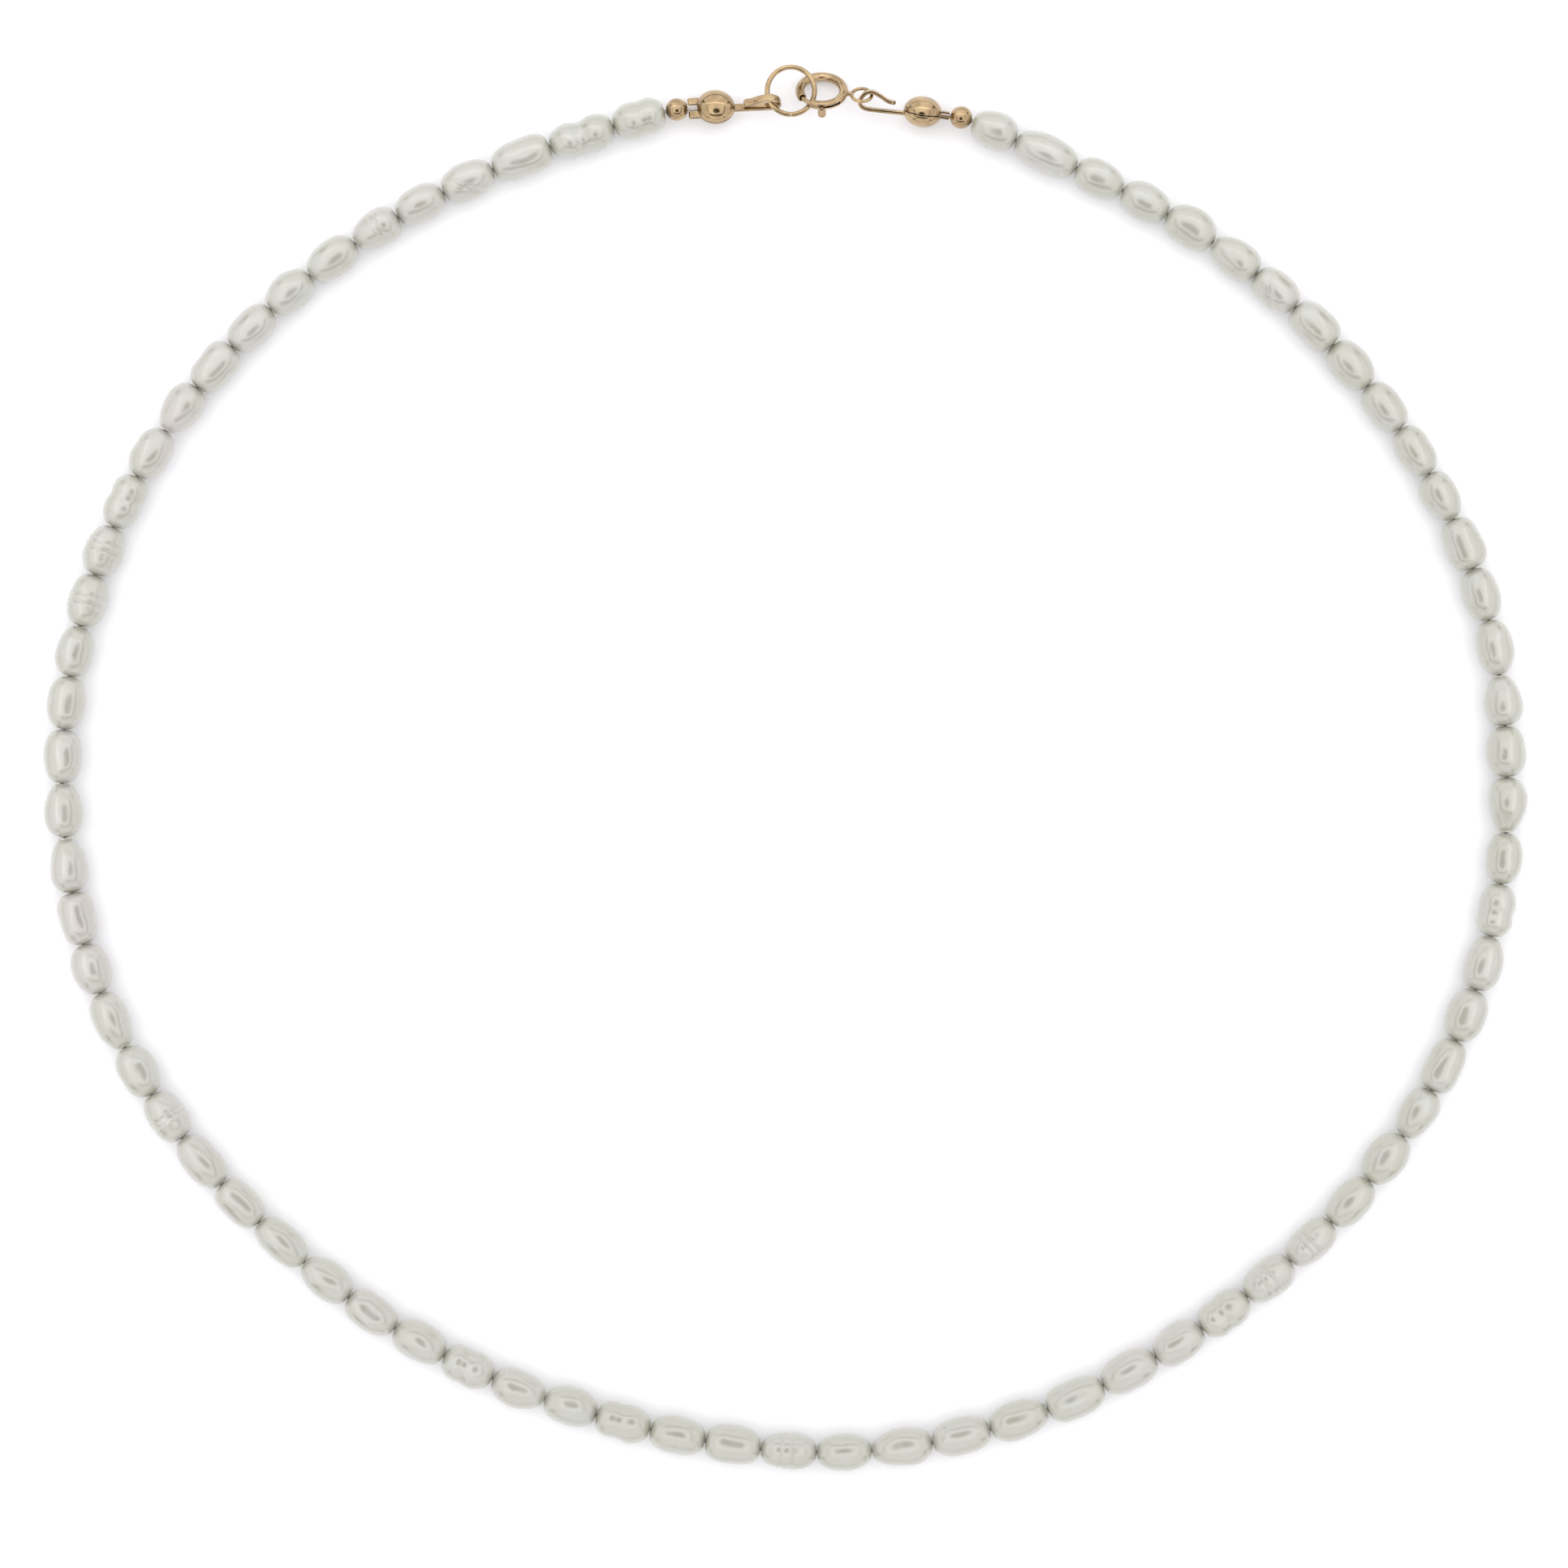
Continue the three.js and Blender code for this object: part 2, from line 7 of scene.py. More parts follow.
import bmesh
import bpy
from mathutils import Matrix, Vector, geometry, noise


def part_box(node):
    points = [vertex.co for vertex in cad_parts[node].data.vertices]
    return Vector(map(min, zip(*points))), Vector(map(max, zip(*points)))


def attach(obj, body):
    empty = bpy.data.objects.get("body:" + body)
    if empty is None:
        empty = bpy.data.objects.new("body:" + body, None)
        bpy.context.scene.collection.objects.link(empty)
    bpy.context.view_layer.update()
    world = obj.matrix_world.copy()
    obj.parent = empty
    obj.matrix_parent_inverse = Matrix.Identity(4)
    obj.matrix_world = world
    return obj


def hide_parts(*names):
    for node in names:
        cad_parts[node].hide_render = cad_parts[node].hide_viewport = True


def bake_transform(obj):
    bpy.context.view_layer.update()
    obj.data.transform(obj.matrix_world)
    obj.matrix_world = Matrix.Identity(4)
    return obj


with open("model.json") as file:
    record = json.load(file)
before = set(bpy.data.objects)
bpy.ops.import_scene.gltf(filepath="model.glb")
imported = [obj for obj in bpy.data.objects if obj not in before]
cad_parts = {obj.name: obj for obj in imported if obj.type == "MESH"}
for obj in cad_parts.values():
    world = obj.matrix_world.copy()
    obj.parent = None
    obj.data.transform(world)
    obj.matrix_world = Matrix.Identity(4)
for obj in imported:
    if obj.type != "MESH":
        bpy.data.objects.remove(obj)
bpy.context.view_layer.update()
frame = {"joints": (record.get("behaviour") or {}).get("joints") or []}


# Camera. It looks straight down on the strand as it lies, from far enough away that the
# pearls keep their shape, and takes in the whole oval with a narrow border.
MM = 0.001
VIEW_WIDTH = 145.3 * MM
VIEW_CENTRE = Vector((-0.08 * MM, -1.47 * MM, 1.75 * MM))
CAMERA_HEIGHT = 0.62

camera = bpy.data.objects.new("camera", bpy.data.cameras.new("camera"))
camera.data.sensor_width = 36
camera.data.lens = camera.data.sensor_width * CAMERA_HEIGHT / VIEW_WIDTH
camera.data.clip_start = 0.01
camera.data.clip_end = 20
camera.location = VIEW_CENTRE + Vector((0, 0, CAMERA_HEIGHT))
bpy.context.scene.collection.objects.link(camera)
bpy.context.scene.camera = camera
bpy.context.scene.view_settings.view_transform = "Standard"


# Studio. A round white table stands in a light tent: four bright cloth panels close round the
# strand, under a broad bright roof, so every pearl has its brightest glow on its outer side.
TABLE_RADIUS = 0.155
TABLE_DROP = 0.02 * MM
PANEL_SIZE = (0.30, 0.13)
PANEL_LIFT = 0.070
ROOF_SIZE = (0.64, 0.60)
ROOF_LIFT = 0.36
LENS_MOUNT_RADIUS = 0.072
LENS_MOUNT_PLACE = (0, -0.015, 0.22)
DAYLIGHT = (0.975, 0.965, 1.0)


def cloth_panel(name, place, size, radiance):
    """Stands a panel of light up at a place, facing the middle of the table."""
    width, height = size
    lamp = bpy.data.lights.new(name, "AREA")
    lamp.shape = "RECTANGLE"
    lamp.size = width
    lamp.size_y = height
    lamp.energy = radiance * math.pi * width * height
    lamp.color = DAYLIGHT
    panel = bpy.data.objects.new(name, lamp)
    panel.location = place
    panel.rotation_euler = (-Vector(place)).to_track_quat("-Z", "Y").to_euler()
    panel.visible_camera = False
    bpy.context.scene.collection.objects.link(panel)


cloth_panel("back_panel", (0, 0.16, PANEL_LIFT), PANEL_SIZE, 1.30)
cloth_panel("left_panel", (-0.16, 0, PANEL_LIFT), PANEL_SIZE, 1.25)
cloth_panel("right_panel", (0.16, 0, PANEL_LIFT), PANEL_SIZE, 1.20)
cloth_panel("front_panel", (0, -0.165, PANEL_LIFT), PANEL_SIZE, 1.15)
cloth_panel("roof_panel", (0, 0.02, ROOF_LIFT), ROOF_SIZE, 1.45)

# The dark mount round the lens shows as a small soft shadow in the middle of each pearl
work = bmesh.new()
bmesh.ops.create_circle(work, cap_ends=True, segments=48, radius=LENS_MOUNT_RADIUS)
shade_mesh = bpy.data.meshes.new("lens_mount")
work.to_mesh(shade_mesh)
work.free()
shade = bpy.data.objects.new("lens_mount", shade_mesh)
shade.location = LENS_MOUNT_PLACE
shade.visible_camera = False
shade.visible_diffuse = False
shade.visible_shadow = False
bpy.context.scene.collection.objects.link(shade)

black_cloth = bpy.data.materials.new("black_cloth")
black_cloth.use_nodes = True
nodes, links = black_cloth.node_tree.nodes, black_cloth.node_tree.links
weave = nodes.new("ShaderNodeTexNoise")
weave.inputs["Scale"].default_value = 300
dye = nodes.new("ShaderNodeValToRGB")
dye.color_ramp.elements[0].color = (0.01, 0.01, 0.01, 1)
dye.color_ramp.elements[1].color = (0.03, 0.03, 0.03, 1)
links.new(nodes.new("ShaderNodeTexCoord").outputs["Object"], weave.inputs["Vector"])
links.new(weave.outputs["Fac"], dye.inputs["Fac"])
links.new(dye.outputs["Color"], nodes["Principled BSDF"].inputs["Base Color"])
shade_mesh.materials.append(black_cloth)

# The table top lies a hair below the pearls, so that no surface meets it
work = bmesh.new()
bmesh.ops.create_circle(work, cap_ends=True, segments=96, radius=TABLE_RADIUS)
table_mesh = bpy.data.meshes.new("table")
work.to_mesh(table_mesh)
work.free()
table = bpy.data.objects.new("table", table_mesh)
table.location.z = -TABLE_DROP
bpy.context.scene.collection.objects.link(table)

table_white = bpy.data.materials.new("table_white")
table_white.use_nodes = True
nodes, links = table_white.node_tree.nodes, table_white.node_tree.links
nodes["Principled BSDF"].inputs["Roughness"].default_value = 0.9
nodes["Principled BSDF"].inputs["Specular IOR Level"].default_value = 0.1
grain = nodes.new("ShaderNodeTexNoise")
grain.inputs["Scale"].default_value = 40
tones = nodes.new("ShaderNodeValToRGB")
tones.color_ramp.elements[0].color = (0.925, 0.925, 0.925, 1)
tones.color_ramp.elements[1].color = (0.94, 0.94, 0.94, 1)
links.new(nodes.new("ShaderNodeTexCoord").outputs["Object"], grain.inputs["Vector"])
links.new(grain.outputs["Fac"], tones.inputs["Fac"])
links.new(tones.outputs["Color"], nodes["Principled BSDF"].inputs["Base Color"])
table_mesh.materials.append(table_white)

# The tent's cloth is white where the camera sees it, but gives little light of its own
room = bpy.data.worlds.new("room")
room.use_nodes = True
nodes, links = room.node_tree.nodes, room.node_tree.links
seen = nodes.new("ShaderNodeMix")
links.new(nodes.new("ShaderNodeLightPath").outputs["Is Camera Ray"], seen.inputs["Factor"])
seen.inputs["A"].default_value = 0.14
seen.inputs["B"].default_value = 0.96
links.new(seen.outputs["Result"], nodes["Background"].inputs["Strength"])
nodes["Background"].inputs["Color"].default_value = (1, 1, 1, 1)
bpy.context.scene.world = room


# Pearls. Each is one drilled freshwater pearl: an irregular oval of nacre grown in a mussel,
# bleached, polished and drilled from end to end. No two are alike, so each is turned from
# its kind's outline and then dented, ringed or bowed a little by itself.

# The four lengths the pearls are sorted into, in millimetres, and the order they are strung in
PEARL_LENGTHS = {"S": 4.73, "M": 4.98, "L": 5.2, "X": 5.57}
STRINGING = "XXXLSSLSMMMMLSMSMMMLMSXMMXMXLLLMLMLLLLLXXXXXMLLLLLMLMLMSLSSLMMSMMMMSMMSSXM"
AXIS_HEIGHT = 1.75 * MM
PEARL_RADIUS = 1.76 * MM
PEARL_HOLE = 0.27 * MM
PEARL_END_GAP = 0.012 * MM
PEARL_END_RADIUS = 0.66 * MM
PEARL_END_ROUND = 0.075 * MM
PEARL_END_CUT = 0.96
OUTLINE_STEPS = 56
PEARL_SIDES = 52
SQUEEZE_HINGE = 18
CURVE_STEPS = 100

# How unevenly a pearl grows. A height is a share of its radius, and a breadth is a share of
# its length, but for those in millimetres
MOST_OVAL = 0.04
MOST_BOW = 0.12 * MM
LUMPS = 0.055
LUMP_BREADTH = 1.9 * MM
WRINKLES = 0.009
WRINKLE_BREADTH = 0.7 * MM
RING_BREADTH = 0.03
SHOULDER_RISE = 0.4
SHOULDER_BREADTH = 0.04
SHOULDER_AWAY = 0.07
GROOVE_DEPTH = 0.075
GROOVE_BREADTH = 0.06
NODULE_RISE = 0.20
NODULE_BREADTH = 0.085
FIRST_SEED = 1000

# Round the strand from the left end of the clasp, the kind of each pearl
KINDS = "wpbgocnoobxowrreoiedbotoroboeiowtowibroeotboiwrrioebotwodoxoobeoiobgxioeon"
# How full the ends are, how much wider the far end is, and the waist's place, depth and width
PEARL_KINDS = {
    "o": {"full": 2.4, "taper": 0.0},
    "e": {"full": 2.3, "taper": 0.09},
    "t": {"full": 2.3, "taper": -0.09},
    "d": {"full": 2.2, "taper": 0.2},
    "x": {"full": 2.2, "taper": -0.2},
    "b": {"full": 3.6, "taper": -0.06},
    "w": {"full": 2.7, "taper": -0.04, "waist": (0.44, 0.12, 0.13)},
    "p": {"full": 2.8, "taper": -0.03, "waist": (0.5, 0.21, 0.13)},
    "r": {"full": 2.7, "taper": 0.03, "rings": (0.42, 0.56)},
    "c": {"full": 2.5, "taper": -0.2, "rings": (0.4, 0.52)},
    "g": {"full": 2.7, "taper": 0.04, "groove": 0.5},
    "n": {"full": 2.4, "taper": -0.08, "nodule": 0.88},
    "i": {"full": 2.6, "taper": -0.03, "lumps": 0.085},
}


def piece_from(work, name, material, crease=40):
    """Makes a finished piece of the mesh being worked on, smooth but for edges past crease."""
    mesh = bpy.data.meshes.new(name)
    work.to_mesh(mesh)
    work.free()
    mesh.shade_smooth()
    mesh.set_sharp_from_angle(angle=math.radians(crease))
    mesh.materials.append(material)
    piece = bpy.data.objects.new(name, mesh)
    bpy.context.scene.collection.objects.link(piece)
    return piece


def turned(work, outline, sides):
    """Turns an outline of (along, radius) points, joined into a loop, round the X axis."""
    corners = [work.verts.new((along, 0, radius)) for along, radius in outline]
    edges = [work.edges.new((a, b)) for a, b in zip(corners, corners[1:] + corners[:1])]
    bmesh.ops.spin(
        work, geom=corners + edges, cent=(0, 0, 0), axis=(1, 0, 0),
        angle=2 * math.pi, steps=sides, use_merge=True, use_duplicate=False,
    )
    bmesh.ops.remove_doubles(work, verts=work.verts, dist=1e-8)
    bmesh.ops.recalc_face_normals(work, faces=work.faces)


def pearl_outline(length, kind, radius):
    """A pearl's half outline from drill hole to drill hole, as (along, radius) points.
    Its ends are slightly domed, so that neighbours can rock on each other."""
    hole_in, face_in = 0.3 * PEARL_END_ROUND, 0.6 * PEARL_END_ROUND
    points = [(hole_in, PEARL_HOLE), (face_in, 0.8 * PEARL_END_RADIUS)]
    for step in range(OUTLINE_STEPS + 1):
        along = (1 - math.cos(math.pi * step / OUTLINE_STEPS)) / 2
        out = abs(2 * along - 1) * PEARL_END_CUT
        swell = (1 - out ** kind["full"]) ** 0.5
        swell *= 1 + kind["taper"] * (2 * along - 1)
        place, depth, width = kind.get("waist", (0.5, 0, 1))
        swell *= 1 - depth * math.exp(-(((along - place) / width) ** 2))
        inset = PEARL_END_ROUND * (1 - 2 * along) * abs(1 - 2 * along) ** 30
        points.append((along * length + inset, max(swell * radius, PEARL_END_RADIUS)))
    points.append((length - face_in, 0.8 * PEARL_END_RADIUS))
    return points + [(length - hole_in, PEARL_HOLE)]


def dented(work, length, kind, chance):
    """Gives a turned pearl the bow, rings, groove, nodule and lumps that it grew with, and
    lets its underside just reach the table."""
    oval, oval_turn = chance.uniform(0.0, MOST_OVAL), chance.uniform(0, math.pi)
    bow, bow_turn = chance.uniform(0.0, MOST_BOW), chance.uniform(0, 2 * math.pi)
    lumps = kind.get("lumps", LUMPS) * chance.uniform(0.6, 1.4)
    cell = Vector((chance.uniform(0, 99), chance.uniform(0, 99), chance.uniform(0, 99)))
    rings = []
    for place in kind.get("rings", ()):
        place, depth = place + chance.uniform(-0.05, 0.05), chance.uniform(0.05, 0.09)
        slant, facing = chance.uniform(-0.05, 0.05), chance.uniform(-0.7, 0.9)
        rings.append((place, depth, slant, facing))
    for corner in work.verts:
        share = corner.co.x / length
        radius = math.hypot(corner.co.y, corner.co.z)
        if radius <= PEARL_HOLE * 1.02:
            continue
        turn = math.atan2(corner.co.z, corner.co.y)
        middle = math.sin(math.pi * min(max(share, 0), 1))
        grow = oval * math.cos(2 * (turn - oval_turn)) * middle
        grow += lumps * noise.noise(corner.co / LUMP_BREADTH + cell) * min(1, 2 * middle)
        grow += WRINKLES * noise.noise(corner.co / WRINKLE_BREADTH + cell) * middle
        for place, depth, slant, facing in rings:
            off = share - place - slant * math.sin(turn)
            arc = max(0.0, math.cos((turn - math.pi / 2 - facing) / 1.6)) ** 0.6
            shoulder = (off - SHOULDER_AWAY) / SHOULDER_BREADTH
            grow -= depth * arc * math.exp(-((off / RING_BREADTH) ** 2))
            grow += SHOULDER_RISE * depth * arc * math.exp(-(shoulder ** 2))
        if "groove" in kind:
            off = share - kind["groove"] - 0.32 * math.sin(turn - 0.9)
            grow -= GROOVE_DEPTH * math.exp(-((off / GROOVE_BREADTH) ** 2)) * middle
        if "nodule" in kind:
            off = Vector((share - kind["nodule"], (turn + 0.5) * 0.28))
            grow += NODULE_RISE * math.exp(-((off.length / NODULE_BREADTH) ** 2))
        scale = 1 + grow
        corner.co.y = corner.co.y * scale + bow * middle * math.cos(bow_turn)
        corner.co.z = corner.co.z * scale + bow * middle * math.sin(bow_turn) * 0.5
    lowest = -min(corner.co.z for corner in work.verts)
    for corner in work.verts:
        if corner.co.z < 0:
            corner.co.z *= AXIS_HEIGHT / lowest


def smooth_between(before, start, end, after, share):
    """A point on the smooth line through four knots, between the two in the middle."""
    lead = start + (end - before) / 6
    trail = end - (after - start) / 6
    curve = geometry.interpolate_bezier(start, lead, trail, end, CURVE_STEPS + 1)
    return curve[round(CURVE_STEPS * share)]


def nacre_material():
    """Satin nacre: a cream body colour that drifts from pearl to pearl, a clear lustrous
    skin, and the soft unevenness of polished growth layers."""
    nacre = bpy.data.materials.new("nacre")
    nacre.use_nodes = True
    nodes, links = nacre.node_tree.nodes, nacre.node_tree.links
    shader = nodes["Principled BSDF"]
    place = nodes.new("ShaderNodeTexCoord").outputs["Object"]

    def cloud(scale, detail):
        made = nodes.new("ShaderNodeTexNoise")
        made.inputs["Scale"].default_value = scale
        made.inputs["Detail"].default_value = detail
        links.new(place, made.inputs["Vector"])
        return made.outputs["Fac"]

    tones = nodes.new("ShaderNodeValToRGB")
    ramp = tones.color_ramp
    ramp.elements[0].position = 0.32
    ramp.elements[0].color = (0.37, 0.375, 0.285, 1)
    ramp.elements[1].position = 0.68
    ramp.elements[1].color = (0.41, 0.385, 0.325, 1)
    ramp.elements.new(0.5).color = (0.385, 0.39, 0.305, 1)
    links.new(cloud(75, 1), tones.inputs["Fac"])
    patches = nodes.new("ShaderNodeMix")
    patches.data_type = "RGBA"
    patches.inputs["B"].default_value = (0.42, 0.42, 0.39, 1)
    links.new(tones.outputs["Color"], patches.inputs["A"])
    thin = nodes.new("ShaderNodeMapRange")
    thin.inputs["From Min"].default_value = 0.45
    thin.inputs["From Max"].default_value = 0.75
    thin.inputs["To Max"].default_value = 0.5
    links.new(cloud(420, 2), thin.inputs["Value"])
    links.new(thin.outputs["Result"], patches.inputs["Factor"])
    links.new(patches.outputs["Result"], shader.inputs["Base Color"])

    satin = nodes.new("ShaderNodeMapRange")
    satin.inputs["To Min"].default_value = 0.24
    satin.inputs["To Max"].default_value = 0.36
    links.new(cloud(600, 2), satin.inputs["Value"])
    links.new(satin.outputs["Result"], shader.inputs["Roughness"])

    waves = nodes.new("ShaderNodeBump")
    waves.inputs["Strength"].default_value = 0.35
    waves.inputs["Distance"].default_value = 0.02 * MM
    links.new(cloud(1500, 2), waves.inputs["Height"])
    links.new(waves.outputs["Normal"], shader.inputs["Normal"])

    shader.inputs["Metallic"].default_value = 0.1
    shader.inputs["Specular IOR Level"].default_value = 1.0
    shader.inputs["Specular Tint"].default_value = (0.93, 0.9, 1.0, 1)
    shader.inputs["Coat Weight"].default_value = 1.0
    shader.inputs["Coat Roughness"].default_value = 0.26
    shader.inputs["Coat IOR"].default_value = 2.25
    shader.inputs["Subsurface Weight"].default_value = 0.45
    shader.inputs["Subsurface Radius"].default_value = (1.0, 0.85, 0.65)
    shader.inputs["Subsurface Scale"].default_value = 0.9 * MM
    return nacre


nacre = nacre_material()
joints = {joint["name"]: joint for joint in frame["joints"]}

# The strand bends at its knots, between the pairs of pearls and at the two end beads
knots = [Vector(joints["bend_tip_left"]["pos_m"])]
for number in range(1, len(STRINGING) // 2):
    name = "loop_squeeze" if number == SQUEEZE_HINGE else f"bend_{number:02d}_{number + 1:02d}"
    knots.append(Vector(joints[name]["pos_m"]))
knots.append(Vector(joints["bend_tip_right"]["pos_m"]))
bead_knots = [Vector(joints[f"bead_spin_{side}"]["pos_m"]) for side in ("left", "right")]
line = [bead_knots[0]] + knots + [bead_knots[1]]

# The strand's stations: every pearl's two ends, pair by pair
stations = []
for pair in range(len(knots) - 1):
    first = PEARL_LENGTHS[STRINGING[2 * pair]]
    second = PEARL_LENGTHS[STRINGING[2 * pair + 1]]
    between = smooth_between(*line[pair:pair + 4], first / (first + second))
    stations += [(knots[pair], between), (between, knots[pair + 1])]


def along_the_strand(start, end):
    """Turns the X axis from start towards end, with Z kept as upright as it can be."""
    along = (end - start).normalized()
    across = Vector((0, 0, 1)).cross(along).normalized()
    turn = Matrix((along, across, along.cross(across))).transposed().to_4x4()
    return Matrix.Translation(start) @ turn


for number, (start, end) in enumerate(stations):
    chance = random.Random(FIRST_SEED + number)
    kind = PEARL_KINDS[KINDS[number]]
    length = (end - start).length - 2 * PEARL_END_GAP
    work = bmesh.new()
    radius = PEARL_RADIUS * chance.uniform(0.96, 1.045)
    turned(work, pearl_outline(length, kind, radius), PEARL_SIDES)
    dented(work, length, kind, chance)
    bmesh.ops.translate(work, verts=work.verts, vec=(PEARL_END_GAP, 0, 0))
    bmesh.ops.transform(work, matrix=along_the_strand(start, end), verts=work.verts)
    pearl = piece_from(work, f"pearl_{number + 1:02d}", nacre, 60)
    node = f"pearls_{number // 2 + 1:02d}"
    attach(pearl, node)
    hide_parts(node)


# Thread. One twisted silk thread runs through every pearl. It only shows as a pale dot where
# two pearls part, so it is made pearl by pearl, with round ends that meet at the drill holes.
THREAD_RADIUS = 0.2 * MM
THREAD_END = 0.5 * THREAD_RADIUS


def silk_material():
    """Twisted silk: dull and pale, with the plies' turns in its colour and its relief."""
    silk = bpy.data.materials.new("silk")
    silk.use_nodes = True
    nodes, links = silk.node_tree.nodes, silk.node_tree.links
    shader = nodes["Principled BSDF"]
    shader.inputs["Roughness"].default_value = 0.75
    shader.inputs["Sheen Weight"].default_value = 0.3
    place = nodes.new("ShaderNodeTexCoord")
    plies = nodes.new("ShaderNodeTexWave")
    plies.inputs["Scale"].default_value = 1800
    plies.inputs["Distortion"].default_value = 1.5
    links.new(place.outputs["Object"], plies.inputs["Vector"])
    tones = nodes.new("ShaderNodeValToRGB")
    tones.color_ramp.elements[0].color = (0.42, 0.39, 0.33, 1)
    tones.color_ramp.elements[1].color = (0.62, 0.58, 0.50, 1)
    links.new(plies.outputs["Fac"], tones.inputs["Fac"])
    links.new(tones.outputs["Color"], shader.inputs["Base Color"])
    twist = nodes.new("ShaderNodeBump")
    twist.inputs["Distance"].default_value = 0.02 * MM
    links.new(plies.outputs["Fac"], twist.inputs["Height"])
    links.new(twist.outputs["Normal"], shader.inputs["Normal"])
    return silk


silk = silk_material()


def add_thread_length(work, start, end):
    """Adds one straight length of thread, round at both ends, to a mesh being worked on."""
    new = bmesh.ops.create_uvsphere(
        work, u_segments=14, v_segments=8, radius=THREAD_RADIUS)["verts"]
    bmesh.ops.rotate(work, verts=new, cent=(0, 0, 0), matrix=Matrix.Rotation(math.pi / 2, 3, "Y"))
    half = (end - start).length / 2
    for corner in new:
        corner.co.x += math.copysign(half - THREAD_END, corner.co.x)
    middle = along_the_strand(start, end) @ Matrix.Translation((half, 0, 0))
    bmesh.ops.transform(work, matrix=middle, verts=new)


for pair in range(len(knots) - 1):
    work = bmesh.new()
    for start, end in stations[2 * pair:2 * pair + 2]:
        add_thread_length(work, start, end)
    run = piece_from(work, f"thread_{pair + 1:02d}", silk)
    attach(run, f"pearls_{pair + 1:02d}")
    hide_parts("thread")


# Gold. All the fittings are gold-plated brass, tumble polished: bright and warm, with the
# fine random hairlines of handling and a slightly duller skin where fingers have been.
def gold_material():
    """Gold plate: a smeared and slightly worn metal under a thin clear lacquer."""
    gold = bpy.data.materials.new("gold")
    gold.use_nodes = True
    nodes, links = gold.node_tree.nodes, gold.node_tree.links
    shader = nodes["Principled BSDF"]
    shader.inputs["Metallic"].default_value = 1.0
    shader.inputs["Coat Weight"].default_value = 0.5
    shader.inputs["Coat Roughness"].default_value = 0.06
    shader.inputs["Coat IOR"].default_value = 1.9
    place = nodes.new("ShaderNodeTexCoord").outputs["Object"]
    smears = nodes.new("ShaderNodeTexNoise")
    smears.inputs["Scale"].default_value = 900
    smears.inputs["Detail"].default_value = 3
    links.new(place, smears.inputs["Vector"])
    tones = nodes.new("ShaderNodeValToRGB")
    tones.color_ramp.elements[0].position = 0.35
    tones.color_ramp.elements[0].color = (0.30, 0.20, 0.09, 1)
    tones.color_ramp.elements[1].position = 0.7
    tones.color_ramp.elements[1].color = (0.52, 0.37, 0.185, 1)
    links.new(smears.outputs["Fac"], tones.inputs["Fac"])
    links.new(tones.outputs["Color"], shader.inputs["Base Color"])
    dulling = nodes.new("ShaderNodeMapRange")
    dulling.inputs["To Min"].default_value = 0.10
    dulling.inputs["To Max"].default_value = 0.24
    links.new(smears.outputs["Fac"], dulling.inputs["Value"])
    links.new(dulling.outputs["Result"], shader.inputs["Roughness"])
    hairlines = nodes.new("ShaderNodeTexNoise")
    hairlines.inputs["Scale"].default_value = 5200
    hairlines.inputs["Detail"].default_value = 2
    links.new(place, hairlines.inputs["Vector"])
    ripple = nodes.new("ShaderNodeBump")
    ripple.inputs["Strength"].default_value = 0.12
    ripple.inputs["Distance"].default_value = 0.01 * MM
    links.new(hairlines.outputs["Fac"], ripple.inputs["Height"])
    links.new(ripple.outputs["Normal"], shader.inputs["Normal"])
    return gold


gold = gold_material()


# End beads. A small plain gold ball at each end of the strand hides the thread between the
# last pearl and the bead tip. Each is drilled, with a softly rounded hole, and spins freely.
BEAD_RADIUS = 1.05 * MM
BEAD_HOLE = 0.32 * MM
BEAD_LIP_IN = 0.94
BEAD_LIP_ROUND = 1.12
BEAD_BORE = 0.88 * BEAD_HOLE
BEAD_STEPS = 26
BEAD_SIDES = 48

for side in ("left", "right"):
    spin = joints[f"bead_spin_{side}"]
    centre = Vector(spin["pos_m"])
    lip = math.asin(BEAD_HOLE / BEAD_RADIUS)
    outline = [(-BEAD_RADIUS * math.cos(lip) * BEAD_LIP_IN, BEAD_BORE)]
    for step in range(BEAD_STEPS + 1):
        angle = lip * BEAD_LIP_ROUND
        angle += (math.pi - 2 * lip * BEAD_LIP_ROUND) * step / BEAD_STEPS
        outline.append((-BEAD_RADIUS * math.cos(angle), BEAD_RADIUS * math.sin(angle)))
    outline.append((BEAD_RADIUS * math.cos(lip) * BEAD_LIP_IN, BEAD_BORE))
    work = bmesh.new()
    turned(work, outline, BEAD_SIDES)
    place = along_the_strand(centre, centre + Vector(spin["axis"]))
    bmesh.ops.transform(work, matrix=place, verts=work.verts)
    bead = piece_from(work, f"end_bead_{side}", gold)
    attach(bead, f"bead_{side}")
    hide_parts(f"end_bead_{side}")


# Bead tips. Each is one stamped gold strip: two cups that fold shut over the crimped thread
# like a clam, joined by a pair of narrow leaves, and a flat strap bent round into a hook.
CUP_HALF = Vector((1.80 * MM, 1.65 * MM, 1.45 * MM))
CUP_WALL = 0.2 * MM
CUP_HOLE = 0.42 * MM
SEAM_HALF = 0.05 * MM
FOLD_BACK = 2.35 * MM
LEAF_HALF_WIDTH = 0.3 * MM
LEAF_OFFSET = 0.7 * MM
FOLD_RADIUS = 0.2 * MM
LEAF_THICKNESS = 0.16 * MM
LEAF_ROOT = 0.35 * MM
FOLD_STEPS = 8
STRAP_WIDTH = 0.70 * MM
STRAP_THICKNESS = 0.36 * MM
STRAP_END_ROUND = 0.36 * MM
STRAP_END_NARROWEST = 0.3
STRAP_ROOT = Vector((CUP_HALF.x - 0.175 * MM, 0, -0.36 * MM))
STRAP_STEPS = 8
HOOK_END = 5.91 * MM
HOOK_RISE = 1.16 * MM
HOOK_DIP = 0.45 * MM
